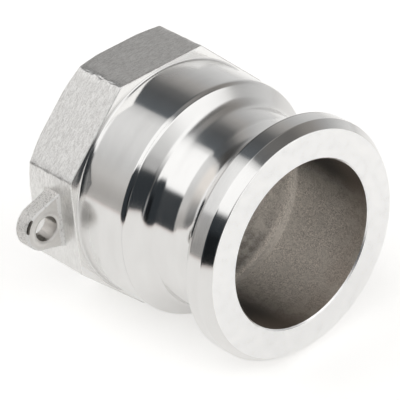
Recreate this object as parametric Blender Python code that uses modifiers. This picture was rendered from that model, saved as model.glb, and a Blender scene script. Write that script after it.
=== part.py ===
"""Male cam-and-groove pipe adapter with an octagonal wrench section and a chain lug.

One stainless casting, machined on its coupling end and tapped at its back. It lies on one
wrench flat. +X runs out of the coupling end, +Z is up, and the origin is the centre of the
flat that it lies on. All sizes are in metres.
"""
import math

import bmesh
import bpy

# Coupling end, from its sealing face backwards.
LIP_DIAMETER = 0.0534
LIP_LAND = 0.0039
LEAD_IN_LENGTH = 0.0022
LEAD_IN_HEIGHT = 0.0015
LIP_EDGE_CHAMFER = 0.00025
GROOVE_WIDTH = 0.0198
GROOVE_BOTTOM_DIAMETER = 0.0436
GROOVE_FRONT_CORNER = 0.0056
GROOVE_FRONT_ANGLE = math.radians(73)
GROOVE_REAR_CORNER = 0.0045
GROOVE_REAR_ANGLE = math.radians(51)
GROOVE_EDGE_DROP = 0.0004
SHOULDER_ROUND = 0.0012

# Barrel and wrench section.
BARREL_DIAMETER = 0.0526
BARREL_LENGTH = 0.0140
ROOT_FILLET = 0.0005
ROOT_SINK = 0.00005
ACROSS_FLATS = 0.0544
OCTAGON_LENGTH = 0.0143
ARRIS_ROUND = 0.0009
FRONT_EDGE_ROUND = 0.0003
CORNER_CHAMFER_DIAMETER = 0.0549
CORNER_CHAMFER_ANGLE = math.radians(30)

# Passage: a cast bore that widens to a tapped socket.
BORE_DIAMETER = 0.0374
BORE_MOUTH_CHAMFER = 0.0003
BORE_DRAFT = 0.0008
BORE_LENGTH = 0.0219
STEP_LENGTH = 0.0027
STEP_HEIGHT = 0.0015
SOCKET_TAPER = 1 / 32
THREAD_CREST_DIAMETER = 0.0445
THREAD_ENTRY_CHAMFER = 0.0020

# Chain lug on one flat.
LUG_THICKNESS = 0.0042
LUG_SETBACK = 0.0044
LUG_REACH = 0.0046
LUG_END_RADIUS = 0.0050
LUG_ROOT_HALF_HEIGHT = 0.0064
LUG_HOLE_DIAMETER = 0.0060
LUG_RISE = 0.0006
LUG_EDGE_ROUND = 0.0008
LUG_SEAT_DEPTH = 0.0010

# Fineness of the facets.
TURNED_STEPS = 72
HOLE_STEPS = 32
ARC_STEPS_GROOVE = 7
ARC_STEPS_SMALL = 3
SHARP_ANGLE = math.radians(25)

FLATS = 8
CUT_OVERRUN = 0.002
MERGE = 0.00001

# Places along the axis that several features share.
APOTHEM = ACROSS_FLATS / 2
BACK_FACE = -OCTAGON_LENGTH / 2
OCTAGON_FRONT = OCTAGON_LENGTH / 2
SHOULDER = OCTAGON_FRONT + BARREL_LENGTH
LIP_BACK = SHOULDER + GROOVE_WIDTH
LEAD_IN_BACK = LIP_BACK + LIP_LAND
SEALING_FACE = LEAD_IN_BACK + LEAD_IN_LENGTH
LUG_MIDDLE = OCTAGON_FRONT - LUG_SETBACK - LUG_THICKNESS / 2


def clear_scene():
    for thing in list(bpy.data.objects):
        bpy.data.objects.remove(thing, do_unlink=True)


def new_collection(name):
    collection = bpy.data.collections.new(name)
    bpy.context.scene.collection.children.link(collection)
    return collection


def new_axis_line(collection):
    """Empty on the passage's centre line, with its own +Z along the object's +X."""
    line = bpy.data.objects.new("centre_line", None)
    line.location = (0, 0, APOTHEM)
    line.rotation_euler = (0, math.radians(90), 0)
    collection.objects.link(line)
    return line


def steel_material():
    """Stainless steel: a bright turned finish over a grey cast skin."""
    material = bpy.data.materials.new("cast_stainless_steel")
    material.use_nodes = True
    shader = material.node_tree.nodes["Principled BSDF"]
    shader.inputs["Base Color"].default_value = (0.60, 0.59, 0.57, 1)
    shader.inputs["Metallic"].default_value = 1.0
    shader.inputs["Roughness"].default_value = 0.28
    return material


def arc(centre, radius, start, end, steps):
    """Points (radius, height) on a circle arc between two angles in degrees, ends included."""
    points = []
    for step in range(steps + 1):
        angle = math.radians(start + (end - start) * step / steps)
        points.append((centre[0] + radius * math.cos(angle), centre[1] + radius * math.sin(angle)))
    return points


def groove_side(edge, bottom, corner, slope, towards):
    """Side of the cam groove, edge first: a straight flank, then a round corner to the bottom."""
    drop = edge[0] - bottom
    corner = min(corner, drop / (1 - math.cos(slope)))
    flank_run = (drop - corner * (1 - math.cos(slope))) / math.tan(slope)
    centre = (bottom + corner, edge[1] + towards * (flank_run + corner * math.sin(slope)))
    points = [edge]
    for step in range(0 if flank_run > MERGE else 1, ARC_STEPS_GROOVE + 1):
        angle = slope * (1 - step / ARC_STEPS_GROOVE)
        points.append((centre[0] - corner * math.cos(angle),
                       centre[1] - towards * corner * math.sin(angle)))
    return points


def coupling_profile():
    """Outside of the turned end, from the sealing face down into the wrench section."""
    lip = LIP_DIAMETER / 2
    barrel = BARREL_DIAMETER / 2
    bottom = GROOVE_BOTTOM_DIAMETER / 2
    front_edge = (lip - LIP_EDGE_CHAMFER, LIP_BACK)
    back_edge = (barrel - GROOVE_EDGE_DROP, SHOULDER)

    points = [(0, SEALING_FACE), (lip - LEAD_IN_HEIGHT, SEALING_FACE), (lip, LEAD_IN_BACK)]
    points.append((lip, LIP_BACK + LIP_EDGE_CHAMFER))
    points += groove_side(front_edge, bottom, GROOVE_FRONT_CORNER, GROOVE_FRONT_ANGLE, -1)
    points += reversed(groove_side(back_edge, bottom, GROOVE_REAR_CORNER, GROOVE_REAR_ANGLE, 1))

    # The shoulder's edge is broken by a low arc from the groove's edge to the barrel.
    rise = barrel - back_edge[0]
    sweep = 2 * math.degrees(math.atan2(rise, SHOULDER_ROUND))
    radius = SHOULDER_ROUND / math.sin(math.radians(sweep))
    centre = (barrel - radius, SHOULDER - SHOULDER_ROUND)
    points += arc(centre, radius, sweep, 0, ARC_STEPS_SMALL)[1:]

    # The barrel meets the wrench section in a small fillet, sunk a little into its front.
    fillet_foot = OCTAGON_FRONT - ROOT_SINK
    centre = (barrel + ROOT_FILLET, fillet_foot + ROOT_FILLET)
    points += arc(centre, ROOT_FILLET, 180, 270, ARC_STEPS_SMALL)
    points.append((barrel, fillet_foot - ROOT_FILLET))
    points.append((barrel, 0))
    points.append((0, 0))
    return points


def passage_profile():
    """Outside of the cutter for the bore and socket, from the mouth to the threaded end."""
    bore = BORE_DIAMETER / 2
    bore_end = bore + BORE_DRAFT
    step_back = SEALING_FACE - BORE_LENGTH - STEP_LENGTH
    crest = THREAD_CREST_DIAMETER / 2
    step_radius = min(bore_end + STEP_HEIGHT, crest - SOCKET_TAPER * (step_back - BACK_FACE))
    return [
        (0, SEALING_FACE + CUT_OVERRUN),
        (bore + BORE_MOUTH_CHAMFER + CUT_OVERRUN, SEALING_FACE + CUT_OVERRUN),
        (bore, SEALING_FACE - BORE_MOUTH_CHAMFER),
        (bore_end, SEALING_FACE - BORE_LENGTH),
        (step_radius, step_back),
        (crest, BACK_FACE + THREAD_ENTRY_CHAMFER),
        (crest + THREAD_ENTRY_CHAMFER + CUT_OVERRUN, BACK_FACE - CUT_OVERRUN),
        (0, BACK_FACE - CUT_OVERRUN),
    ]


def turned(name, profile, collection, line):
    """Solid of revolution about the centre line, from a profile of (radius, height)."""
    mesh = bpy.data.meshes.new(name)
    points = [(radius, 0, height) for radius, height in profile]
    edges = [(index, index + 1) for index in range(len(points) - 1)]
    mesh.from_pydata(points, edges, [])
    thing = bpy.data.objects.new(name, mesh)
    collection.objects.link(thing)
    thing.parent = line
    screw = thing.modifiers.new("turn", "SCREW")
    screw.axis = "Z"
    screw.steps = TURNED_STEPS
    screw.render_steps = TURNED_STEPS
    screw.use_merge_vertices = True
    screw.merge_threshold = MERGE
    return thing


def combine(body, tool, operation):
    boolean = body.modifiers.new(operation.lower() + "_" + tool.name, "BOOLEAN")
    boolean.operation = operation
    boolean.solver = "EXACT"
    boolean.object = tool


def corner_chamfer_profile():
    """Outside of the turned blank whose cone cuts the corners at the threaded end."""
    reach = APOTHEM / math.cos(math.pi / FLATS) + CUT_OVERRUN
    edge = CORNER_CHAMFER_DIAMETER / 2
    slope = math.tan(CORNER_CHAMFER_ANGLE)
    return [
        (0, OCTAGON_FRONT + CUT_OVERRUN),
        (reach, OCTAGON_FRONT + CUT_OVERRUN),
        (reach, BACK_FACE + (reach - edge) * slope),
        (edge - CUT_OVERRUN / slope, BACK_FACE - CUT_OVERRUN),
        (0, BACK_FACE - CUT_OVERRUN),
    ]


def octagon(collection, line):
    """Eight-sided wrench section with flats below and above, and its corners cut at the back."""
    bpy.ops.mesh.primitive_cylinder_add(
        vertices=FLATS, radius=APOTHEM / math.cos(math.pi / FLATS), depth=OCTAGON_LENGTH,
        end_fill_type="NGON")
    thing = bpy.context.object
    thing.name = "wrench_section"
    for owner in list(thing.users_collection):
        owner.objects.unlink(thing)
    collection.objects.link(thing)
    thing.parent = line
    thing.rotation_euler = (0, 0, math.pi / FLATS)

    widest = max(ARRIS_ROUND, FRONT_EDGE_ROUND)
    shape = bmesh.new()
    shape.from_mesh(thing.data)
    weight = shape.edges.layers.float.new("bevel_weight_edge")
    for edge in shape.edges:
        low, high = sorted(vertex.co.z for vertex in edge.verts)
        if low < 0 < high:
            edge[weight] = ARRIS_ROUND / widest
        elif low > 0:
            edge[weight] = FRONT_EDGE_ROUND / widest
    shape.to_mesh(thing.data)
    shape.free()
    bevel = thing.modifiers.new("rounded_edges", "BEVEL")
    bevel.limit_method = "WEIGHT"
    bevel.width = widest
    bevel.segments = 2
    combine(thing, turned("corner_chamfer", corner_chamfer_profile(), collection, line), "INTERSECT")
    return thing


def lug_outline():
    """Lug seen along the centre line: straight flanks that meet a round end, root first."""
    root = APOTHEM - LUG_SEAT_DEPTH
    hole = APOTHEM + LUG_REACH
    run = hole - root
    span = math.hypot(run, LUG_ROOT_HALF_HEIGHT)
    half_sweep = math.pi - math.atan2(LUG_ROOT_HALF_HEIGHT, run)
    half_sweep -= math.acos(min(1, LUG_END_RADIUS / span))
    points = [(root, LUG_ROOT_HALF_HEIGHT)]
    steps = HOLE_STEPS // 2
    for step in range(steps + 1):
        angle = half_sweep * (1 - 2 * step / steps)
        points.append((hole + LUG_END_RADIUS * math.cos(angle), LUG_END_RADIUS * math.sin(angle)))
    points.append((root, -LUG_ROOT_HALF_HEIGHT))
    return points


def lug(collection, line):
    """Plate with a rounded rim that stands on the flat facing -Y, sunk into it to be joined."""
    curve = bpy.data.curves.new("lug_outline", "CURVE")
    curve.dimensions = "2D"
    curve.fill_mode = "BOTH"
    curve.extrude = LUG_THICKNESS / 2
    points = lug_outline()
    spline = curve.splines.new("POLY")
    spline.points.add(len(points) - 1)
    for point, (out, up) in zip(spline.points, points):
        point.co = (-up, -out, 0, 1)
    spline.use_cyclic_u = True
    flat = bpy.data.objects.new("lug_outline", curve)
    collection.objects.link(flat)
    view_layer = bpy.context.view_layer
    view_layer.update()
    mesh = bpy.data.meshes.new_from_object(flat.evaluated_get(view_layer.depsgraph))
    bpy.data.objects.remove(flat, do_unlink=True)

    shape = bmesh.new()
    shape.from_mesh(mesh)
    bmesh.ops.remove_doubles(shape, verts=shape.verts, dist=MERGE)
    bmesh.ops.dissolve_limit(shape, angle_limit=math.radians(1), verts=shape.verts,
                             edges=shape.edges)
    bmesh.ops.recalc_face_normals(shape, faces=shape.faces)
    shape.to_mesh(mesh)
    shape.free()
    thing = bpy.data.objects.new("chain_lug", mesh)
    collection.objects.link(thing)
    thing.parent = line
    thing.location = (-LUG_RISE, 0, LUG_MIDDLE)
    bevel = thing.modifiers.new("cast_rim", "BEVEL")
    bevel.limit_method = "ANGLE"
    bevel.angle_limit = math.radians(60)
    bevel.width = LUG_EDGE_ROUND
    bevel.segments = 2
    return thing


def lug_hole(collection, line):
    """Cutter for the hole through the lug, parallel to the centre line."""
    bpy.ops.mesh.primitive_cylinder_add(
        vertices=HOLE_STEPS, radius=LUG_HOLE_DIAMETER / 2, depth=LUG_THICKNESS + 2 * CUT_OVERRUN)
    thing = bpy.context.object
    thing.name = "lug_hole"
    for owner in list(thing.users_collection):
        owner.objects.unlink(thing)
    collection.objects.link(thing)
    thing.parent = line
    thing.location = (-LUG_RISE, -(APOTHEM + LUG_REACH), LUG_MIDDLE)
    return thing


def shade_turned_faces_smooth(body):
    """Round faces are shaded smooth, and every edge sharper than the facets' own stays crisp."""
    bpy.context.view_layer.update()
    depsgraph = bpy.context.view_layer.depsgraph
    mesh = bpy.data.meshes.new_from_object(body.evaluated_get(depsgraph))
    body.modifiers.clear()
    body.data = mesh
    mesh.shade_smooth()
    mesh.set_sharp_from_angle(angle=SHARP_ANGLE)


def build():
    clear_scene()
    parts = new_collection("pipe_adapter")
    tools = new_collection("cutters")
    line = new_axis_line(parts)

    body = turned("adapter_body", coupling_profile(), parts, line)
    joined = [octagon(tools, line), lug(tools, line)]
    cut = [turned("passage", passage_profile(), tools, line), lug_hole(tools, line)]
    for tool in joined:
        combine(body, tool, "UNION")
    for tool in cut:
        combine(body, tool, "DIFFERENCE")
    for tool in tools.objects:
        tool.hide_render = True
        tool.display_type = "WIRE"
    body.data.materials.append(steel_material())
    shade_turned_faces_smooth(body)


build()
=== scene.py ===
import math

import bmesh
import bpy
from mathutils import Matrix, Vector, noise


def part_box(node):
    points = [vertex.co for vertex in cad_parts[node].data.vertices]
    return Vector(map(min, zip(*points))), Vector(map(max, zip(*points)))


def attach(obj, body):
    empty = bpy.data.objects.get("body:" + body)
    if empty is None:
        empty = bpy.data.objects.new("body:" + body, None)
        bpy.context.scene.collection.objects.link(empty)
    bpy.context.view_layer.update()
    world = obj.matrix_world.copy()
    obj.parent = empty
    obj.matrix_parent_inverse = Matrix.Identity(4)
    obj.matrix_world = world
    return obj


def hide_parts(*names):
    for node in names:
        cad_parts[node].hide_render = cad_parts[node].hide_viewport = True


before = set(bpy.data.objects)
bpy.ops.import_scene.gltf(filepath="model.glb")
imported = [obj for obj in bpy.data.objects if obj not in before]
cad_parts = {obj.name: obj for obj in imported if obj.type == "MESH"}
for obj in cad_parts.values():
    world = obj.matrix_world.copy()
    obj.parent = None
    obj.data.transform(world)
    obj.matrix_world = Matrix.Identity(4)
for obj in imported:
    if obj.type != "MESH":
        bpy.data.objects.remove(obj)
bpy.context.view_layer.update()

low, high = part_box("adapter_body")

# The set: a white table in a light tent. The camera looks down on the coupling end from the
# lug's side. A long soft box hangs over the lug's side, with a black flag below it, and the
# tent's far side is left dim, so the polished steel shows a white strip between darks.
camera_place = (0.38847, -0.30808, 0.33697)
camera_turn = (57.043, 4.52, 47.518)
camera_lens = 244.93
camera_reach = 20

view = bpy.data.cameras.new("camera")
view.lens = camera_lens
view.clip_end = camera_reach
camera = bpy.data.objects.new("camera", view)
camera.location = camera_place
camera.rotation_euler = [math.radians(angle) for angle in camera_turn]
bpy.context.scene.collection.objects.link(camera)
bpy.context.scene.camera = camera
bpy.context.scene.view_settings.view_transform = "Standard"


class Wire:
    """A socket in a node tree. Arithmetic on wires adds the Math nodes that work it out."""

    def __init__(self, tree, socket=None):
        self.tree = tree
        self.socket = socket

    def node(self, kind, settings=None, inputs=None, output=0):
        """Adds a node, sets it up, feeds its sockets with values or wires, gives an output."""
        node = self.tree.nodes.new(kind)
        for name, value in (settings or {}).items():
            if name == "stops":
                elements = node.color_ramp.elements
                while len(elements) < len(value):
                    elements.new(1)
                for element, (place, colour) in zip(elements, value):
                    element.position = place
                    element.color = colour
            else:
                setattr(node, name, value)
        for name, value in (inputs or {}).items():
            if isinstance(value, Wire):
                self.tree.links.new(value.socket, node.inputs[name])
            else:
                node.inputs[name].default_value = value
        return Wire(self.tree, node.outputs[output] if node.outputs else None)

    def math(self, operation, first, second=0.0):
        return self.node("ShaderNodeMath", {"operation": operation}, {0: first, 1: second})

    def __add__(self, other):
        return self.math("ADD", self, other)

    def __sub__(self, other):
        return self.math("SUBTRACT", self, other)

    def __rsub__(self, other):
        return self.math("SUBTRACT", other, self)

    def __mul__(self, other):
        return self.math("MULTIPLY", self, other)

    __radd__ = __add__
    __rmul__ = __mul__

    def rise(self, start, end):
        """0 below start, 1 above end, and a smooth step between them."""
        return self.node("ShaderNodeMapRange", {"interpolation_type": "SMOOTHSTEP"},
                         {0: self, 1: start, 2: end})

    def band(self, rising, falling):
        """1 between a smooth step up and a smooth step down, each from its start to its end."""
        return self.rise(*rising) * (1 - self.rise(*falling))

    def mix(self, low_colour, high_colour):
        """Goes from one colour to the other as this wire goes from 0 to 1."""
        return self.node("ShaderNodeMix", {"data_type": "RGBA"},
                         {0: self, 6: low_colour, 7: high_colour}, 2)

    def ramp(self, stops):
        """Colour by this wire, from places and their colours."""
        return self.node("ShaderNodeValToRGB", {"stops": stops}, {0: self})

    def part(self, axis):
        """One part of a vector: 0 along the fitting's centre line, 1 across it, 2 upward."""
        return self.node("ShaderNodeSeparateXYZ", inputs={0: self}, output=axis)


def grey(level, warmth=0.0):
    return (level * (1 + warmth), level, level * (1 - warmth), 1)


# Brightness of the tent by the angle round the fitting, in half turns from the far side over
# the top to the lug's side. There is one list for each stretch along the centre line, from far
# behind the wrench section, through abreast of the groove, to ahead of the lip.
tent_scale = 1.36
far_behind = [
    (0.00, grey(0.56)), (0.17, grey(0.30)), (0.22, grey(0.17)), (0.27, grey(0.09)),
    (0.33, grey(0.058)), (0.42, grey(0.050, 0.05)), (0.495, grey(0.09)), (0.515, grey(0.50)),
    (0.57, grey(0.74, 0.05)), (0.72, grey(0.72, 0.05)), (0.80, grey(0.55, 0.04)),
    (0.86, grey(0.34, 0.03)), (0.92, grey(0.25)), (1.00, grey(0.14)),
]
behind = [
    (0.00, grey(0.58)), (0.11, grey(0.48)), (0.17, grey(0.40)), (0.23, grey(0.33, 0.03)),
    (0.28, grey(0.24, 0.03)), (0.33, grey(0.12)), (0.39, grey(0.082, -0.04)),
    (0.495, grey(0.105, -0.10)), (0.512, grey(0.52)), (0.56, grey(0.66)), (0.64, grey(0.67)),
    (0.72, grey(0.62)), (0.80, grey(0.53)), (0.90, grey(0.50, 0.02)), (0.96, grey(0.40, 0.03)),
    (1.00, grey(0.36, 0.03)),
]
abreast = [
    (0.00, grey(0.62)), (0.06, grey(0.50)), (0.12, grey(0.36)), (0.20, grey(0.24, 0.05)),
    (0.26, grey(0.19, 0.05)), (0.32, grey(0.20, 0.04)), (0.42, grey(0.22, 0.03)),
    (0.500, grey(0.20, -0.04)), (0.515, grey(0.50)), (0.55, grey(0.95)), (0.60, grey(0.975)),
    (1.00, grey(0.975)),
]
by_camera = [
    (0.00, grey(0.80)), (0.25, grey(0.97)), (0.36, grey(1.0)), (0.62, grey(1.0)),
    (0.70, grey(0.62)), (0.78, grey(0.22)), (0.84, grey(0.07)), (0.89, grey(0.07)),
    (0.94, grey(0.31)), (1.00, grey(0.31)),
]
ahead = [
    (0.00, grey(0.80)), (0.25, grey(0.95)), (0.36, grey(0.96)), (0.42, grey(0.90)),
    (0.47, grey(0.75)), (0.53, grey(0.69)), (0.58, grey(0.62)), (0.64, grey(0.57)),
    (0.69, grey(0.52)), (0.74, grey(0.36)), (0.79, grey(0.12)), (0.84, grey(0.045)),
    (1.00, grey(0.035)),
]
back_wall = grey(0.86)
shade_grey = grey(0.05)
shade_share = 0.55
card_grey = grey(0.42)
flag_black = grey(0.032, -0.14)
low_flag_black = grey(0.010, -0.14)

# Borders in the tent, each from its start to its end. Along the centre line they go from -1,
# straight behind the fitting, to 1, straight ahead of it.
back_wall_border = (-0.97, -0.92)
far_behind_border = (-0.84, -0.80)
soft_box_border = (-0.622, -0.606)
far_side_border = (-0.50, -0.25)
shade_border = (0.12, 0.26)
by_camera_border = (0.47, 0.54)
ahead_border = (0.72, 0.80)
card_border = (0.80, 0.87)
flag_gap_start = (0.595, 0.625)
flag_gap_end = (0.67, 0.70)
low_flag_start = (0.10, 0.25)
low_flag_end = (0.50, 0.56)
flag_lift = 0.047
flag_lift_border = (-0.66, -0.30)
flag_dip = 0.015
flag_dip_border = (0.15, 0.45)

# Round the fitting the borders are in half turns.
shade_foot = (0.22, 0.30)
lug_side_start = (0.497, 0.510)
card_top = (0.66, 0.72)
card_foot = (0.765, 0.815)
flag_top = (0.812, 0.848)
low_flag_top = (0.86, 0.92)

world = bpy.data.worlds.new("light_tent")
bpy.context.scene.world = world
world.use_nodes = True
world.node_tree.nodes.clear()
tent = Wire(world.node_tree)
way = tent.node("ShaderNodeTexCoord", output="Generated")
along = way.part(0)
half_turns = tent.math(
    "ABSOLUTE", tent.math("ARCTAN2", way.part(2), way.part(1)) * (1 / math.pi))
lug_side = half_turns.rise(*lug_side_start)
forward = (lug_side * along.rise(*soft_box_border)
           + (1 - lug_side) * along.rise(*far_side_border))
walls = forward.mix(half_turns.ramp(behind), half_turns.ramp(abreast))
walls = along.rise(*far_behind_border).mix(half_turns.ramp(far_behind), walls)
walls = along.rise(*back_wall_border).mix(back_wall, walls)
shade = along.rise(*shade_border) * half_turns.rise(*shade_foot) * (1 - lug_side)
walls = (shade_share * shade).mix(walls, shade_grey)
walls = along.rise(*by_camera_border).mix(walls, half_turns.ramp(by_camera))
walls = along.rise(*ahead_border).mix(walls, half_turns.ramp(ahead))
card = along.rise(*card_border) * half_turns.band(card_top, card_foot)
walls = card.mix(walls, card_grey)
flag_height = (half_turns + flag_lift * along.rise(*flag_lift_border)
               - flag_dip * along.rise(*flag_dip_border))
flag = (flag_height.rise(*flag_top) * along.rise(*soft_box_border)
        * (1 - along.band(flag_gap_start, flag_gap_end)))
low_flag = along.band(low_flag_start, low_flag_end) * half_turns.rise(*low_flag_top)
lit = flag.mix(walls, low_flag.mix(flag_black, low_flag_black))
rays = tent.node("ShaderNodeLightPath", output="Is Camera Ray")
seen = rays.mix(lit, grey(1 / tent_scale))
background = tent.node("ShaderNodeBackground", inputs={"Color": seen, "Strength": tent_scale})
tent.node("ShaderNodeOutputWorld", inputs={0: background})

# The table is painted white, with a brown trim along its near edge that shows only in the
# steel. It glows for the camera, so that it comes out white, and less where the steel mirrors
# it, least of all far off.
table_reach = 0.70
table_edge = -0.26
table_paint = (0.84, 0.835, 0.825, 1)
trim_brown = (0.26, 0.13, 0.10, 1)
trim_fade = (-0.228, -0.190)
camera_glow = 0.60
mirrored_glow = 0.50
far_off_loss = 0.26
far_off_border = (0.06, 0.50)
no_glow = (0, 0, 0, 1)

table_mesh = bpy.data.meshes.new("table")
table_mesh.from_pydata(
    [(-table_reach, table_edge, 0), (table_reach, table_edge, 0),
     (table_reach, table_reach, 0), (-table_reach, table_reach, 0)], [], [(0, 1, 2, 3)])
table = bpy.data.objects.new("table", table_mesh)
bpy.context.scene.collection.objects.link(table)
table_material = bpy.data.materials.new("white_table")
table_material.use_nodes = True
table_material.node_tree.nodes.clear()
paint = Wire(table_material.node_tree)
matt = paint.node("ShaderNodeBsdfDiffuse", inputs={"Color": table_paint})
camera_ray = paint.node("ShaderNodeLightPath", output="Is Camera Ray")
glossy_ray = paint.node("ShaderNodeLightPath", output="Is Glossy Ray")
table_y = paint.node("ShaderNodeTexCoord", output="Object").part(1)
off_trim = paint.math("MAXIMUM", table_y.rise(*trim_fade), camera_ray)
glow_share = camera_ray * camera_glow + glossy_ray * (
    mirrored_glow - far_off_loss * table_y.rise(*far_off_border))
glow = paint.node("ShaderNodeEmission", inputs={
    "Color": glow_share.mix(no_glow, off_trim.mix(trim_brown, table_paint))})
both = paint.node("ShaderNodeAddShader", inputs={0: matt, 1: glow})
paint.node("ShaderNodeOutputMaterial", inputs={0: both})
table_mesh.materials.append(table_material)

# The adapter is one stainless-steel casting. Its skin is laid as rings of points round the
# centre line, one after another along the outside from the sealing face to the threaded end,
# and back through the passage. A ring's points stand closest at the eight arrises.
axis_height = high.z / 2
sealing_face = high.x
back_face = low.x
apothem = high.y
flats = 8
arris_round = 0.0010
points_on_flat = 30
points_on_arris = 6

centre_line = (0.0, axis_height)
half_flat = math.pi / flats
corner_centre = (apothem - arris_round) / math.cos(half_flat)
arris_start = math.atan((apothem - arris_round) * math.tan(half_flat) / apothem)


def octagon_radius(angle):
    """Distance from the centre line to the wrench section's outline, with its round arrises."""
    off = abs((angle + half_flat) % (2 * half_flat) - half_flat)
    if off < arris_start:
        return apothem / math.cos(off)
    off = half_flat - off
    side = corner_centre * math.sin(off)
    return corner_centre * math.cos(off) + math.sqrt(arris_round ** 2 - side ** 2)


ring_angles = []
for flat in range(flats):
    middle = 2 * half_flat * flat
    for step in range(points_on_flat):
        run = math.tan(arris_start) * (2 * step / points_on_flat - 1)
        ring_angles.append(middle + math.atan(run))
    for step in range(points_on_arris):
        share = step / points_on_arris
        ring_angles.append(middle + arris_start + 2 * (half_flat - arris_start) * share)


def about(centre, x, radius, angle):
    return Vector((x, centre[0] + radius * math.cos(angle), centre[1] + radius * math.sin(angle)))


rings = []


def ring(x, radius, finish):
    """Next ring of the skin. x and radius are numbers, or functions of the ring's angle."""
    points = []
    for angle in ring_angles:
        ring_x = x(angle) if callable(x) else x
        ring_radius = radius(angle) if callable(radius) else radius
        points.append(about(centre_line, ring_x, ring_radius, angle))
    rings.append((points, finish))


# An eased edge takes up at most this share of the line on either side of it. A guard point
# stands on each line, this many times the size of the eased edge from the corner.
ease_most = 0.4
ease_guard = 1.4
ease_steps = 3


def eased(corners):
    """Outline through corners (x, radius, size of the eased edge), as a list of points."""
    points = [corners[0][:2]]
    for before, corner, after in zip(corners, corners[1:], corners[2:]):
        here = Vector(corner[:2])
        back = Vector(before[:2]) - here
        forth = Vector(after[:2]) - here
        size = min(corner[2], back.length * ease_most, forth.length * ease_most)
        back.normalize()
        forth.normalize()
        points.append(tuple(here + back * size * ease_guard))
        for step in range(ease_steps + 1):
            share = step / ease_steps
            points.append(tuple(here + back * size * (1 - share) ** 2 + forth * size * share ** 2))
        points.append(tuple(here + forth * size * ease_guard))
    points.append(corners[-1][:2])
    return points


def spaced(points, gap):
    """The same outline with no two points further apart than the gap."""
    filled = [points[0]]
    for start, end in zip(points, points[1:]):
        parts = max(1, math.ceil(math.dist(start, end) / gap))
        for part in range(1, parts + 1):
            filled.append(tuple(Vector(start).lerp(Vector(end), part / parts)))
    return filled


# The coupling end, turned and polished on a lathe: a flat sealing face, a lead-in cone, the
# lip's land, the cam groove that the mating half's arms grip, and the plain barrel.
bore_mouth_radius = 0.0187
mouth_chamfer = 0.0003
lip_radius = 0.0267
lead_in_length = 0.0022
lead_in_height = 0.0015
face_edge_ease = 0.00016
cone_edge_ease = 0.00014
lip_land = 0.0039
lip_back_edge = 0.00025
lip_back_ease = 0.00030
land_taper = 0.00006
groove_width = 0.0198
groove_bottom = 0.0218
groove_crease = 0.0155
crease_half = 0.0006
front_slope = math.radians(4)
front_bend_slope = math.radians(10.5)
front_flank_angle = math.radians(74)
front_bend_end = 0.0117
rear_slope = math.radians(3.4)
rear_flank_angle = math.radians(51)
rear_bend = 0.0019
shoulder_drop = 0.0003
shoulder_edge_ease = 0.0003
shoulder_round = 0.0008
shoulder_ease = 0.0006
barrel_radius = 0.0263
barrel_length = 0.0140
root_fillet = 0.0005
groove_steps = 26
crease_steps = 6
groove_row_gap = 0.0008
turned_row_gap = 0.0012
face_depth = 0.00002

lead_in_back = sealing_face - lead_in_length
lip_back = lead_in_back - lip_land
shoulder = lip_back - groove_width
octagon_front = shoulder - barrel_length


def meeting(first, first_slope, second, second_slope):
    """Where two lines (x, radius) with these slopes cross."""
    x = second[1] - first[1] + first_slope * first[0] - second_slope * second[0]
    x /= first_slope - second_slope
    return (x, first[1] + first_slope * (x - first[0]))


def bent(start, corner, end, steps):
    """Curve that leaves start towards the corner, and comes to the end from it."""
    points = []
    for step in range(steps + 1):
        share = step / steps
        points.append(tuple(Vector(start).lerp(corner, share).lerp(
            Vector(corner).lerp(end, share), share)))
    return points


# The belt has left the groove's bottom as a cone behind and a shallow bow in front, which meet
# in a soft crease. The crease takes the place of the last points of the bow.
points_in_crease = 3
crease = Vector((sealing_face - groove_crease, groove_bottom))
lip_edge = Vector((lip_back, lip_radius - lip_back_edge))
shoulder_edge = Vector((shoulder, barrel_radius - shoulder_drop))
bow_length = front_bend_end - groove_crease
mean_slope = (math.tan(front_slope) + math.tan(front_bend_slope)) / 2
front_bend = crease + Vector((-bow_length, -bow_length * mean_slope))
bow_corner = meeting(crease, math.tan(front_slope), front_bend, math.tan(front_bend_slope))
front_corner = meeting(
    front_bend, math.tan(front_bend_slope), lip_edge, math.tan(front_flank_angle))
rear_corner = Vector(meeting(
    crease, -math.tan(rear_slope), shoulder_edge, -math.tan(rear_flank_angle)))
rear_start = rear_corner + rear_bend * Vector((math.cos(rear_slope), -math.sin(rear_slope)))
rear_end = rear_corner + rear_bend * Vector(
    (-math.cos(rear_flank_angle), math.sin(rear_flank_angle)))
groove_outline = bent(lip_edge, front_corner, front_bend, groove_steps)
groove_outline += bent(front_bend, bow_corner, crease, groove_steps)[1:-points_in_crease]
groove_outline += bent(
    crease + crease_half * Vector((1, math.tan(front_slope))), crease,
    crease + crease_half * Vector((-1, math.tan(rear_slope))), crease_steps)
groove_outline += bent(rear_start, rear_corner, rear_end, groove_steps)
groove_outline.append(tuple(shoulder_edge))
groove_outline = groove_outline[:1] + spaced(groove_outline[1:], groove_row_gap)

# The lip's eased rear edge runs out at one of the first points of the groove's outline.
lip_end = 2
lip_outline = eased([
    (sealing_face, bore_mouth_radius + mouth_chamfer),
    (sealing_face, lip_radius - lead_in_height, face_edge_ease),
    (lead_in_back, lip_radius - land_taper, cone_edge_ease),
    (lip_back, lip_radius, lip_back_ease),
    groove_outline[lip_end],
])
for x, radius in spaced(lip_outline, turned_row_gap):
    ring(x, radius, "faced" if x > sealing_face - face_depth else "polished")
for x, radius in groove_outline[lip_end + 1:-1]:
    ring(x, radius, "polished")
barrel_outline = eased([
    groove_outline[-2],
    (shoulder, barrel_radius - shoulder_drop, shoulder_edge_ease),
    (shoulder - shoulder_round, barrel_radius, shoulder_ease),
    (octagon_front + root_fillet, barrel_radius),
])
for x, radius in spaced(barrel_outline, turned_row_gap)[1:]:
    ring(x, radius, "polished")

finishes = {}


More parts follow.
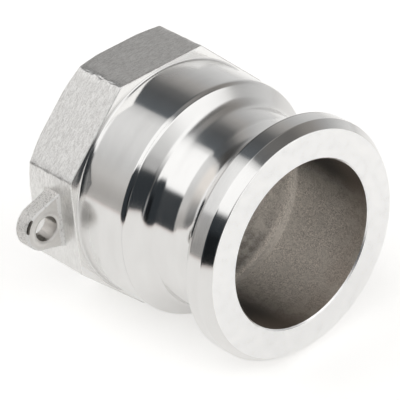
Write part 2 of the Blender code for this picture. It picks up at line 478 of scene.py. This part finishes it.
def new_finish(name):
    """Material with an empty node tree, as the wire that its nodes are made with."""
    material = bpy.data.materials.new(name)
    material.use_nodes = True
    material.node_tree.nodes.clear()
    finishes[name] = material
    return Wire(material.node_tree)


def millimetres(wire):
    """The point on the object, in millimetres, with the centre line at height 0."""
    place = wire.node("ShaderNodeTexCoord", output="Object")
    return wire.node("ShaderNodeVectorMath", {"operation": "MULTIPLY_ADD"},
                     {0: place, 1: (1000, 1000, 1000), 2: (0, 0, -1000 * axis_height)})


def stretched(place, along, across, up):
    return place.node("ShaderNodeVectorMath", {"operation": "MULTIPLY"},
                      {0: place, 1: (along, across, up)})


def grain(place, scale, detail=2.0, rough=0.5):
    return place.node("ShaderNodeTexNoise", inputs={
        "Vector": place, "Scale": scale, "Detail": detail, "Roughness": rough})


def bumped(height, distance, under=None):
    """Normal of the surface with that height on it, where 1 stands for distance in metres."""
    inputs = {"Height": height, "Distance": distance, "Strength": 1.0}
    if under is not None:
        inputs["Normal"] = under
    return height.node("ShaderNodeBump", inputs=inputs)


def show_steel(wire, colour, rough, normal, metallic=1.0):
    shader = wire.node("ShaderNodeBsdfPrincipled", inputs={
        "Base Color": colour, "Metallic": metallic, "Roughness": rough, "Normal": normal})
    wire.node("ShaderNodeOutputMaterial", inputs={0: shader})


# Polish: fine lines from turning, long waves from the hand, and smears. It is dull towards the
# barrel's root and on the groove's rear side, and a dark line of painted shade runs over the top
# of the lip just before its rear edge. These places are in millimetres.
clear_steel = (0.77, 0.765, 0.755, 1)
smeared_steel = (0.68, 0.672, 0.66, 1)
# Colour of the painted shade line over the top of the lip.
shade_line_steel = (0.50, 0.49, 0.48, 1)
line_start = (0.05, 0.2)
line_end = (0.42, 0.6)
line_height = (6, 12)
dull_root_length = 8.0
clear_strip_across = (-4, 0)
clear_strip_height = (5, 8)
dull_side_start = (-0.5, 1.0)
dull_side_end = (4, 8)
dull_side_across = (-16, -9)
turning_height = 0.0000022
wave_height = 0.000012

polish = new_finish("polished")
place = millimetres(polish)
along_axis = place.part(0)
across_axis = place.part(1)
up = place.part(2)
turning_lines = grain(stretched(place, 9, 0.12, 0.12), 1.0, 3)
hand_waves = grain(place, 0.22, 1)
smears = grain(stretched(place, 0.35, 0.10, 0.10), 1.0, 3)
# Painted shade: a dark line over the top of the lip, just before its rear edge.
painted_shade_line = (along_axis - 1000 * lip_back).band(line_start, line_end) * up.rise(*line_height)
off_strip = polish.math(
    "MAXIMUM", across_axis.rise(*clear_strip_across), 1 - up.rise(*clear_strip_height))
dull_root = 1 - (along_axis - 1000 * octagon_front).rise(0, dull_root_length)
dull_side = ((along_axis - 1000 * shoulder).band(dull_side_start, dull_side_end)
             * across_axis.rise(*dull_side_across))
show_steel(
    polish,
    painted_shade_line.mix(smears.mix(smeared_steel, clear_steel), shade_line_steel),
    (0.06 + 0.05 * turning_lines + 0.05 * smears + 0.10 * dull_side
     + (0.03 + 0.24 * off_strip) * dull_root),
    bumped(turning_lines, turning_height, bumped(hand_waves, wave_height)))

# The sealing face and the threaded end were faced off, and came out matt with faint blotches.
faced_dull = (0.84, 0.84, 0.84, 1)
faced_bright = (0.925, 0.92, 0.91, 1)
cutter_height = 0.0000022

facing = new_finish("faced")
place = millimetres(facing)
rim_blotches = grain(place, 0.45, 4, 0.6)
cutter_marks = grain(place, 3.0, 2)
show_steel(
    facing,
    rim_blotches.rise(0.3, 0.7).mix(faced_dull, faced_bright),
    0.24 + 0.04 * cutter_marks,
    bumped(cutter_marks, cutter_height))

# The wrench section: an octagon as cast, its flats linished on a belt and its front faced off
# in the lathe, with a small fillet at the barrel and the corners turned off at the back.
fillet_steps = 4
front_shares = (0.08, 0.36, 0.68, 0.94, 1.0)
front_edge_round = 0.00022
front_edge_steps = 3
corner_chamfer_radius = 0.02745
corner_chamfer_slope = math.tan(math.radians(30))
back_edge_break = 0.00014
turned_shares = (0.1, 0.5, 0.9, 1.0)
flat_rows = 28
flat_margin = 0.0010
flat_hollow = 0.00004
hollow_lump = 0.0035
arris_wear = 0.00026
wear_lump = 0.0010
wear_width = 0.0009
even_wear = 0.4
lumpy_wear = 1.3
least_wear = 0.35
worn_arris = math.radians(112.5)

for step in range(1, fillet_steps + 1):
    turn = math.radians(90 * step / fillet_steps)
    ring(octagon_front + root_fillet * (1 - math.sin(turn)),
         barrel_radius + root_fillet * (1 - math.cos(turn)), "polished")


def between(start, end, share):
    return start + (end - start) * share


def front_outline(angle):
    return octagon_radius(angle) - front_edge_round


# The octagon's front face takes the finish with the painted highlight.
for share in front_shares:
    ring(octagon_front,
         lambda angle: between(barrel_radius + root_fillet, front_outline(angle), share),
         "fine_faced_highlight")
for step in range(1, front_edge_steps + 1):
    turn = math.radians(90 * step / front_edge_steps)
    ring(octagon_front - front_edge_round * (1 - math.cos(turn)),
         lambda angle: front_outline(angle) + front_edge_round * math.sin(turn), "linished")


def chamfer_start(angle):
    """Where a flat ends and the turned corner begins."""
    cut = (octagon_radius(angle) - corner_chamfer_radius) * corner_chamfer_slope
    return back_face + max(back_edge_break, cut)


def flat_place(angle, share):
    """x on a flat, by the share of the way from its front edge to where it ends."""
    return between(octagon_front - front_edge_round, chamfer_start(angle), share)


def lumps(point, size, octaves=3):
    """Noise of about -1 to 1 at a point, with lumps of the given size in metres."""
    return noise.fractal(point / size, 1.0, 2.0, octaves, noise_basis="PERLIN_ORIGINAL")


def worn_radius(angle, share):
    """Radius on a flat that is a little hollow, or on an arris that is worn unevenly."""
    full = octagon_radius(angle)
    x = flat_place(angle, share)
    place = about(centre_line, x, full, angle)
    inside = min(1, (octagon_front - x) / flat_margin, (x - chamfer_start(angle)) / flat_margin)
    hollow = flat_hollow * (0.5 + 0.5 * lumps(place, hollow_lump))
    off = half_flat - abs((angle + half_flat) % (2 * half_flat) - half_flat)
    near_arris = max(0, 1 - off * apothem / wear_width)
    worst = max(least_wear, 1 - abs(angle - worn_arris) / half_flat)
    wear = arris_wear * worst * near_arris * (even_wear + lumpy_wear * lumps(place, wear_lump))
    return full - max(0, inside) * (max(0, hollow) + max(0, wear))


for step in range(1, flat_rows + 1):
    share = step / flat_rows
    ring(lambda angle: flat_place(angle, share), lambda angle: worn_radius(angle, share),
         "linished")


def back_outline(angle):
    return min(octagon_radius(angle) - back_edge_break, corner_chamfer_radius)


for share in turned_shares:
    ring(lambda angle: between(chamfer_start(angle), back_face, share),
         lambda angle: between(octagon_radius(angle), back_outline(angle), share), "faced")

# The small faces at the octagon's front corners came off a fine cut, and their colour is raised
# nearly to white as a painted highlight.
corner_highlight_dull = (0.92, 0.915, 0.90, 1)
corner_highlight_bright = (0.96, 0.955, 0.945, 1)
tool_height = 0.000002

corner_highlight_facing = new_finish("fine_faced_highlight")
place = millimetres(corner_highlight_facing)
tool_marks = grain(place, 2.0, 2)
show_steel(
    corner_highlight_facing,
    tool_marks.mix(corner_highlight_dull, corner_highlight_bright),
    0.10 + 0.05 * tool_marks,
    bumped(tool_marks, tool_height))

# The belt left streaks that run round the section, and grain between them. The lower flats
# are smoother.
belt_dark = (0.62, 0.61, 0.595, 1)
belt_bright = (0.88, 0.875, 0.86, 1)
smooth_dark = (0.77, 0.765, 0.75, 1)
smooth_bright = (0.84, 0.835, 0.82, 1)
coarse_height = (-2, 12)
least_coarse = 0.35
belt_height = 0.00004

belt = new_finish("linished")
place = millimetres(belt)
streaks = grain(stretched(place, 3.4, 0.8, 0.8), 1.0, 4, 0.65)
speckle = grain(place, 3.2, 3, 0.65)
blotches = grain(place, 0.45, 3)
coarse = least_coarse + (1 - least_coarse) * place.part(2).rise(*coarse_height)
smooth_skin = blotches.rise(0.3, 0.7).mix(smooth_dark, smooth_bright)
belt_skin = (0.6 * streaks + 0.4 * speckle).rise(0.36, 0.62).mix(belt_dark, belt_bright)
show_steel(
    belt,
    coarse.mix(smooth_skin, belt_skin),
    0.30 + 0.16 * speckle,
    bumped((1.4 * streaks + speckle) * coarse, belt_height))

# The threaded socket: a right-hand tapered pipe thread, 11.5 to the inch, cut into the cast
# bore from the back. It runs out towards the cast step that ends the narrow bore.
thread_mouth_radius = 0.02425
thread_crest_radius = 0.02225
thread_pitch = 0.0254 / 11.5
thread_depth = 0.8 * thread_pitch
thread_taper = 1 / 32
thread_length = 0.0205
thread_run_out = 0.0030
mouth_length = 0.0020
crest_half = 0.05
root_half = 0.04
thread_profile = [
    (0, 0), (crest_half, 0), (0.25, 0.5), (0.5 - root_half, 1), (0.5 + root_half, 1),
    (0.75, 0.5), (1 - crest_half, 0),
]

for share in turned_shares:
    ring(back_face,
         lambda angle: between(back_outline(angle), thread_mouth_radius, share), "faced")
outside_rings = len(rings)
thread_end = back_face + thread_length


def crest_radius(x):
    return thread_crest_radius - (x - back_face - mouth_length) * thread_taper


def thread_radius(x, depth):
    """Radius in the socket where the thread's own profile is that deep, from 0 to 1."""
    fade = min(1, max(0, (thread_end - x) / thread_run_out))
    cut = crest_radius(x) + thread_depth * depth * fade
    return max(cut, thread_mouth_radius - (x - back_face))


# Rows of the thread follow its helix: where a row has gone once round, it goes on as the row
# one pitch further. Rows that would pass the thread's ends are held there.
thread_rows = []
for turn in range(math.ceil(thread_length / thread_pitch) + 3):
    for place, depth in thread_profile:
        points = []
        for angle in ring_angles:
            round_share = (angle - ring_angles[0]) / math.tau
            x = back_face + (turn - 1 + place + round_share) * thread_pitch
            x = min(max(x, back_face), thread_end)
            points.append(about(centre_line, x, thread_radius(x, depth), angle))
        thread_rows.append(points)

thread_dull = (0.58, 0.57, 0.55, 1)
thread_bright = (0.70, 0.69, 0.67, 1)
chatter_height = 0.00002

tapped = new_finish("tapped")
place = millimetres(tapped)
chatter = grain(stretched(place, 1.5, 0.6, 0.6), 2.0, 3)
show_steel(
    tapped,
    chatter.mix(thread_dull, thread_bright),
    0.20 + 0.14 * chatter,
    bumped(chatter, chatter_height))

# The cast passage: a smooth cone up to the step, and the narrow bore as it came out of the
# shell mould, grainy and pitted, with a broken edge at the sealing face.
step_back = sealing_face - 0.0246
step_radius = 0.0210
bore_end = sealing_face - 0.0219
bore_end_radius = 0.0195
bore_lump = 0.0006
bore_swell = 0.004
bore_pit = 0.00003
least_pit = 0.3
pit_margin = 0.001
socket_row_gap = 0.0008
bore_row_gap = 0.0005

socket_outline = [(thread_end, crest_radius(thread_end)), (step_back, step_radius),
                  (bore_end, bore_end_radius)]
bore_outline = [(bore_end, bore_end_radius), (sealing_face - mouth_chamfer, bore_mouth_radius)]


def rough_bore(x, radius, pit):
    """Radius of the cast wall at one place of its outline, as a function of the angle."""
    def at(angle):
        place = about(centre_line, x, radius, angle)
        return radius + pit * (lumps(place, bore_lump, 4) + 0.6 * lumps(place, bore_swell, 2))
    return at


for x, radius in spaced(socket_outline, socket_row_gap):
    inside = min(1, (x - thread_end) / pit_margin)
    ring(x, rough_bore(x, radius, inside * bore_pit * least_pit), "cast")
for x, radius in spaced(bore_outline, bore_row_gap)[1:]:
    inside = min(1, least_pit + (sealing_face - x) / pit_margin)
    ring(x, rough_bore(x, radius, inside * bore_pit), "cast")

# The cast wall is painted pale on the side that faces up and to the lug, as painted light, and is
# stained there; elsewhere it is painted dark, as painted shade. It is browner towards the mouth.
# The step and the socket behind it are painted darker still, as painted shade in the recess, most
# of all low on the lug's side. These places are in millimetres.
# The wall is painted light on the side this points to.
painted_light_side = (0, math.sqrt(0.5), -math.sqrt(0.5))
upper_side = (0, math.sqrt(0.5), math.sqrt(0.5))
painted_shade_dark = (0.11, 0.10, 0.09, 1)
sand_dark = (0.39, 0.345, 0.30, 1)
sand_pale = (1.0, 0.93, 0.845, 1)
mouth_brown = (0.40, 0.32, 0.26, 1)
stain_grey = (0.74, 0.69, 0.62, 1)
painted_light_start = (8.5, 17.8)
low_border = (-8, 6)
# Painted shade in the socket and on the step, most of all low on the lug's side.
socket_painted_shade = 0.24
low_socket_painted_shade = 0.46
socket_shade_end = (-3.2, -0.6)
step_painted_shade = 0.12
low_step_painted_shade = 0.24
step_shade_start = (-0.4, 0)
step_shade_end = (-0.3, 0.1)
brown_share = 0.42
brown_start = (36, 46)
stain_share = 0.45
stain_start = (9, 17)
sand_height = 0.00008


def towards(place, side):
    """How far a point lies from the centre line towards a side."""
    return place.node("ShaderNodeVectorMath", {"operation": "DOT_PRODUCT"},
                      {0: place, 1: side}, "Value")


cast = new_finish("cast")
place = millimetres(cast)
sand = grain(place, 4.4, 4, 0.75)
pores = grain(place, 7.0, 3, 0.6)
mottle = grain(place, 1.5, 5, 0.7)
stain = grain(place, 0.32, 5, 0.6)
inward = place.part(0)
toward_painted_light = towards(place, painted_light_side)
low_wall = 1 - towards(place, upper_side).rise(*low_border)
in_socket = 1 - (inward - 1000 * step_back).rise(*socket_shade_end)
on_step = ((inward - 1000 * step_back).rise(*step_shade_start)
           * (1 - (inward - 1000 * bore_end).rise(*step_shade_end)))
stained = toward_painted_light.rise(*stain_start) * stain.rise(0.45, 0.62)
wall = (0.76 * sand + 0.24 * mottle).rise(0.37, 0.61).mix(sand_dark, sand_pale)
# Painted light on one side of the wall, painted shade on the rest.
wall = toward_painted_light.rise(*painted_light_start).mix(painted_shade_dark, wall)
# Painted shade deep in the socket and on the step.
wall = ((socket_painted_shade + low_socket_painted_shade * low_wall) * in_socket).mix(wall, painted_shade_dark)
wall = ((step_painted_shade + low_step_painted_shade * low_wall) * on_step).mix(wall, painted_shade_dark)
wall = (brown_share * inward.rise(*brown_start)).mix(wall, mouth_brown)
wall = (stain_share * stained).mix(wall, stain_grey)
show_steel(cast, wall, 0.46 + 0.2 * pores, bumped(sand + 0.6 * pores, sand_height))

# The rings are joined to one closed skin: the outside, the thread, and the passage back to the
# sealing face, where the last ring meets the first.
weld_gap = 0.00002

casting_mesh = bmesh.new()


def finish_slot(finish):
    return list(finishes).index(finish)


def lay(points):
    return [casting_mesh.verts.new(point) for point in points]


def join(first, second, finish, next_first=None, next_second=None):
    """Faces between two rings. The seam may go on to other rings than it started from."""
    ahead_first = first[1:] + [(next_first or first)[0]]
    ahead_second = second[1:] + [(next_second or second)[0]]
    for corners in zip(first, ahead_first, ahead_second, second):
        face = casting_mesh.faces.new(corners)
        face.material_index = finish_slot(finish)
        face.smooth = True


laid = [lay(points) for points, finish in rings]
for index, (points, finish) in enumerate(rings):
    if index != outside_rings:
        join(laid[index - 1], laid[index], finish)
thread_laid = [lay(points) for points in thread_rows]
per_turn = len(thread_profile)
for index in range(len(thread_laid) - per_turn - 1):
    join(thread_laid[index], thread_laid[index + 1], "tapped",
         thread_laid[index + per_turn], thread_laid[index + per_turn + 1])
thread_points = [point for row in thread_laid for point in row]
thread_points += laid[outside_rings - 1] + laid[outside_rings]
bmesh.ops.remove_doubles(casting_mesh, verts=thread_points, dist=weld_gap)
loose = [point for point in casting_mesh.verts if not point.link_faces]
bmesh.ops.delete(casting_mesh, geom=loose, context="VERTS")
bmesh.ops.recalc_face_normals(casting_mesh, faces=casting_mesh.faces)

body_mesh = bpy.data.meshes.new("adapter_casting")
casting_mesh.to_mesh(body_mesh)
casting_mesh.free()
body = bpy.data.objects.new("adapter_casting", body_mesh)
bpy.context.scene.collection.objects.link(body)

# The chain lug: a plate cast on the flat that faces the camera's left, with a hole for a
# retaining chain. Its rim keeps the mould's rough skin, its front face has a low ring round
# the hole, and on the ring's outer side the rim has sunk away from it and left a gap.
lug_middle = 0.00065
lug_half = 0.0021
lug_reach = 0.0046
lug_rise = 0.0006
lug_end_radius = 0.00494
lug_root_half = 0.0066
lug_seat = 0.0009
lug_hole = 0.0028
hole_shift = (0.0005, -0.0002)
lug_rim_round = 0.00042
lug_back_round = 0.0006
flank_fillet = 0.0004
face_fillet = 0.0008
fillet_kept = 0.9
ring_height = 0.00016
ring_foot = 0.00105
hole_break = 0.00022
back_break_width = 0.0002
back_break_middle = 0.00006
hole_margin = 0.0006
flash_chord = 0.0016
flash_half = 0.0004
flash_middle = math.radians(52)
gap_start = (2, 14)
gap_end = (38, 54)
lug_pebble = 0.0006
lug_pebble_height = 0.00006
pebble_margin = 0.0006
face_pebbles = 0.35
outline_steps = 26
root_steps = 8
plate_steps = 9
back_round_steps = 5

hole_centre = (-apothem - lug_reach, axis_height + lug_rise)


def fillet(height, size):
    """How far a side of the lug spreads at a height over the flat."""
    left = min(fillet_kept, max(0, fillet_kept - height / size))
    return size * (1 - math.sqrt(1 - left * left))


def half_outline():
    """Lug from the hole's centre line to its root, as (out from the hole, up), end first."""
    to_root = lug_reach + lug_seat
    tangent = math.pi - math.atan2(lug_root_half, to_root)
    tangent -= math.acos(lug_end_radius / math.hypot(to_root, lug_root_half))
    points = []
    for step in range(outline_steps + 1):
        angle = tangent * step / outline_steps
        points.append((lug_end_radius * math.cos(angle), lug_end_radius * math.sin(angle)))
    start = points[-1]
    for step in range(1, outline_steps + 1):
        share = step / outline_steps
        out = start[0] + (-to_root - start[0]) * share
        up = start[1] + (lug_root_half - start[1]) * share
        points.append((out, up + fillet(out + lug_reach, flank_fillet)))
    edge = points[-1][1]
    for step in range(1, root_steps):
        points.append((-to_root, edge * (1 - step / root_steps)))
    return points


upper_half = half_outline()
lug_outline = upper_half + [(-lug_reach - lug_seat, 0.0)]
lug_outline += [(out, -up) for out, up in reversed(upper_half[1:])]


def soft_step(value, start, end):
    """0 before start, 1 after end, and a smooth step between them."""
    share = min(1, max(0, (value - start) / (end - start)))
    return share * share * (3 - 2 * share)


def gap_share(out, up):
    """How far the gap is open, by the angle round the hole."""
    turn = math.degrees(math.atan2(up, out))
    return soft_step(turn, *gap_start) * (1 - soft_step(turn, *gap_end))


# The front face goes from the hole's broken edge over the low ring: how far from the hole, and
# how high.
ring_profile = [
    (0, -hole_break), (0.00008, -0.3 * hole_break), (0.00022, 0), (0.00034, 0.7 * ring_height),
    (0.0005, ring_height), (0.0007, ring_height), (0.0009, 0.6 * ring_height),
    (ring_foot, 0.1 * ring_height),
]

# Where the gap is open, the rim goes through these points: how far in from the lug's outline,
# how deep under its front face, and which part of the lug the face after the point belongs to.
open_rim = [
    (0.00072, 0, "ridge"), (0.00062, 0.00004, "ridge"), (0.00056, 0.00016, "gap"),
    (0.00055, 0.00072, "gap"), (0.00054, 0.0012, "gap"), (0.00038, 0.0012, "ridge"),
    (0.00030, 0.000792, "ridge"), (0.00012, 0.000744, "skin"), (0, 0.00102, "skin"),
]


def lug_section(out, up):
    """Section of the lug from the hole's front edge round the rim: (from the hole, x, part)."""
    reach = math.hypot(out, up) - lug_hole
    gap = gap_share(out, up)
    face_end = reach - lug_rim_round
    points = [(from_hole, lug_half + x, "face") for from_hole, x in ring_profile]
    for step in range(1, plate_steps):
        points.append((between(ring_foot, face_end, step / plate_steps), lug_half, "face"))
    for step, (inward, depth, part) in enumerate(open_rim):
        turn = math.radians(90 * step / (len(open_rim) - 1))
        from_hole = face_end + lug_rim_round * math.sin(turn)
        x = -lug_rim_round * (1 - math.cos(turn))
        points.append((between(from_hole, reach - inward, gap),
                       lug_half + between(x, -depth, gap), part))
    side_start = points[-1][1]
    side_end = -lug_half + lug_back_round
    for step in range(1, plate_steps):
        points.append((reach, between(side_start, side_end, step / plate_steps), "skin"))
    for step in range(back_round_steps + 1):
        turn = math.radians(90 * step / back_round_steps)
        points.append((reach - lug_back_round * (1 - math.cos(turn)),
                       side_end - lug_back_round * math.sin(turn), "skin"))
    for step in range(1, plate_steps):
        points.append((between(reach - lug_back_round, back_break_width, step / plate_steps),
                       -lug_half, "skin"))
    points.append((back_break_middle, -lug_half + 0.3 * hole_break, "skin"))
    off_flash = abs(math.atan2(up, out) - flash_middle)
    flash = 0
    if off_flash < math.acos(flash_chord / lug_hole):
        flash = flash_chord / math.cos(off_flash) - lug_hole
    wall = [(0, -lug_half + hole_break), (0, -lug_half + 2 * hole_break), (0, -flash_half),
            (0.2 * flash, -flash_half), (flash, -0.4 * flash_half),
            (flash, 0.4 * flash_half), (0.2 * flash, flash_half), (0, flash_half)]
    return points + [(from_hole, x, "hole") for from_hole, x in wall]


# The lug's skin is bright cast steel, pebbled by the mould, with dark grains left in its pores.
# Its front face has been rubbed, and the ridge round that and along the root is painted brightest,
# as a painted highlight.
pore_dark = (0.42, 0.40, 0.375, 1)
skin_bright = (0.96, 0.94, 0.91, 1)
pebble_height = 0.00019
skin_metal = 0.4

skin = new_finish("lug_skin")
place = millimetres(skin)
pebbles = grain(place, 2.2, 4, 0.65)
grains = grain(place, 5.5, 2, 0.6)
show_steel(
    skin,
    grains.rise(0.36, 0.50).mix(pore_dark, skin_bright),
    0.32 + 0.2 * pebbles,
    bumped(pebbles + 0.5 * grains, pebble_height),
    skin_metal)

rubbed_dull = (0.80, 0.775, 0.74, 1)
rubbed_bright = (0.93, 0.91, 0.88, 1)
rub_height = 0.00005
rubbed_metal = 0.35

rubbed = new_finish("lug_rubbed")
place = millimetres(rubbed)
rubs = grain(place, 1.1, 3, 0.6)
show_steel(
    rubbed,
    rubs.mix(rubbed_dull, rubbed_bright),
    0.34 + 0.12 * rubs,
    bumped(rubs, rub_height),
    rubbed_metal)

nick_dull = (0.70, 0.68, 0.66, 1)
# Painted highlight on the ridge round the lug's front face and along its root.
ridge_painted_highlight = (1.0, 0.99, 0.97, 1)
nick_height = 0.00003
ridge_metal = 0.1

ridge = new_finish("lug_ridge_highlight")
place = millimetres(ridge)
nicks = grain(place, 1.6, 3, 0.6)
show_steel(
    ridge,
    nicks.rise(0.3, 0.5).mix(nick_dull, ridge_painted_highlight),
    0.30 + 0.1 * nicks,
    bumped(nicks, nick_height),
    ridge_metal)

# The wall of the lug's hole is painted dark with a grainy crust, as painted shade, and painted
# bright on its lower side next to the flat, as painted light.
painted_light_side_of_hole = (0, math.sqrt(0.5), -math.sqrt(0.5))
painted_light_border = (-20.15, -19.7)
painted_light_bright = (0.86, 0.83, 0.79, 1)
crust_shade_dark = (0.13, 0.12, 0.105, 1)
crust_pale = (0.34, 0.32, 0.29, 1)
crust_height = 0.0001

hole_light_and_shade = new_finish("hole_light_and_shade")
place = millimetres(hole_light_and_shade)
crust = grain(place, 2.6, 4, 0.6)
# Painted light on the lower side of the hole next to the flat, painted shade elsewhere.
hole_painted_light = (towards(place, painted_light_side_of_hole) + 0.8 * crust).rise(*painted_light_border)
show_steel(
    hole_light_and_shade,
    hole_painted_light.mix(crust.rise(0.3, 0.7).mix(crust_shade_dark, crust_pale), painted_light_bright),
    0.45 + 0.2 * crust,
    bumped(crust, crust_height))

root_ridge_height = 0.0010
gap_half_open = 0.4


def lug_finish(part, out, up, height):
    """Finish of a face of the lug, by its part of the section and its height over the flat."""
    if part == "face":
        return "lug_ridge_highlight" if height < root_ridge_height else "lug_rubbed"
    # Where the gap is open, it gets the hole's painted shade.
    if part == "gap":
        return "hole_light_and_shade" if gap_share(out, up) > gap_half_open else "lug_ridge_highlight"
    return {"ridge": "lug_ridge_highlight", "skin": "lug_skin", "hole": "hole_light_and_shade"}[part]


lug_shape = bmesh.new()
lug_columns = []
for out, up in lug_outline:
    angle = math.atan2(up, out)
    column = []
    for from_hole, x, part in lug_section(out, up):
        radius = lug_hole + from_hole
        place = Vector((0, hole_centre[0] - radius * math.cos(angle),
                        hole_centre[1] + radius * math.sin(angle)))
        height = -apothem - place.y
        inner = min(1, max(0, from_hole / hole_margin))
        near_hole = max(0, 1 - from_hole / lug_end_radius)
        place.y += hole_shift[0] * near_hole
        place.z += hole_shift[1] * near_hole
        spread = math.copysign(inner * fillet(height, face_fillet), x)
        place.x = lug_middle + x + spread * min(1, abs(x) / (lug_half - lug_rim_round))
        column.append((lug_shape.verts.new(place), part))
    lug_columns.append(column)
next_columns = lug_columns[1:] + lug_columns[:1]
for (out, up), column, following in zip(lug_outline, lug_columns, next_columns):
    for index, (point, part) in enumerate(column):
        after = (index + 1) % len(column)
        face = lug_shape.faces.new(
            (point, column[after][0], following[after][0], following[index][0]))
        face.material_index = finish_slot(lug_finish(part, out, up, -apothem - point.co.y))
        face.smooth = True
bmesh.ops.recalc_face_normals(lug_shape, faces=lug_shape.faces)
lug_shape.normal_update()
for point in lug_shape.verts:
    rim_share = min(1, max(0, (lug_half - abs(point.co.x - lug_middle)) / pebble_margin))
    height = lug_pebble_height * (face_pebbles + (1 - face_pebbles) * rim_share)
    point.co += point.normal * (height * lumps(point.co, lug_pebble))
lug_mesh = bpy.data.meshes.new("chain_lug")
lug_shape.to_mesh(lug_mesh)
lug_shape.free()
lug = bpy.data.objects.new("chain_lug", lug_mesh)
bpy.context.scene.collection.objects.link(lug)

# The lug is one with the body, so the two skins are made one. Both list all the finishes first,
# so that each face keeps its own.
crease_angle = math.radians(38)

for mesh in (body_mesh, lug_mesh):
    for material in finishes.values():
        mesh.materials.append(material)
union = body.modifiers.new("cast_in_one", "BOOLEAN")
union.operation = "UNION"
union.solver = "EXACT"
union.object = lug
bpy.context.view_layer.update()
depsgraph = bpy.context.evaluated_depsgraph_get()
one_mesh = bpy.data.meshes.new_from_object(body.evaluated_get(depsgraph))
body.modifiers.clear()
body.data = one_mesh
bpy.data.objects.remove(lug, do_unlink=True)
one_mesh.set_sharp_from_angle(angle=crease_angle)

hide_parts("adapter_body")
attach(body, "root")
